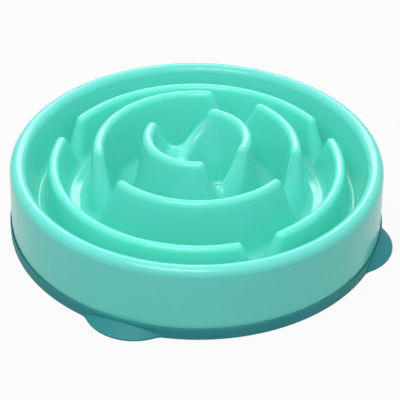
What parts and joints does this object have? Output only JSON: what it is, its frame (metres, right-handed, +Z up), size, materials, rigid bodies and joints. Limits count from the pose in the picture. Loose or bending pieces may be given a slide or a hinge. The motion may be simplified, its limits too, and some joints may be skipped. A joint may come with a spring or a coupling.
{
  "type": "slow feeder bowl",
  "caption": "Round pet feeding bowl with a raised maze of curved walls in its floor and a non-slip rubber ring round its foot.",
  "frame": {"origin": "on the bowl's axis, on the table under the ring", "axes": "+Z up along the bowl's axis, +X to the right and -Y to the front as the picture shows the bowl"},
  "size_m": [0.291, 0.2874, 0.077],
  "materials": {
    "bowl_plastic": "glossy moulded plastic, mint turquoise",
    "ring_rubber": "satin moulded rubber, dark teal"
  },
  "bodies": {
    "root": {"bowl": "bowl_plastic", "non_slip_ring": "ring_rubber"}
  },
  "joints": []
}
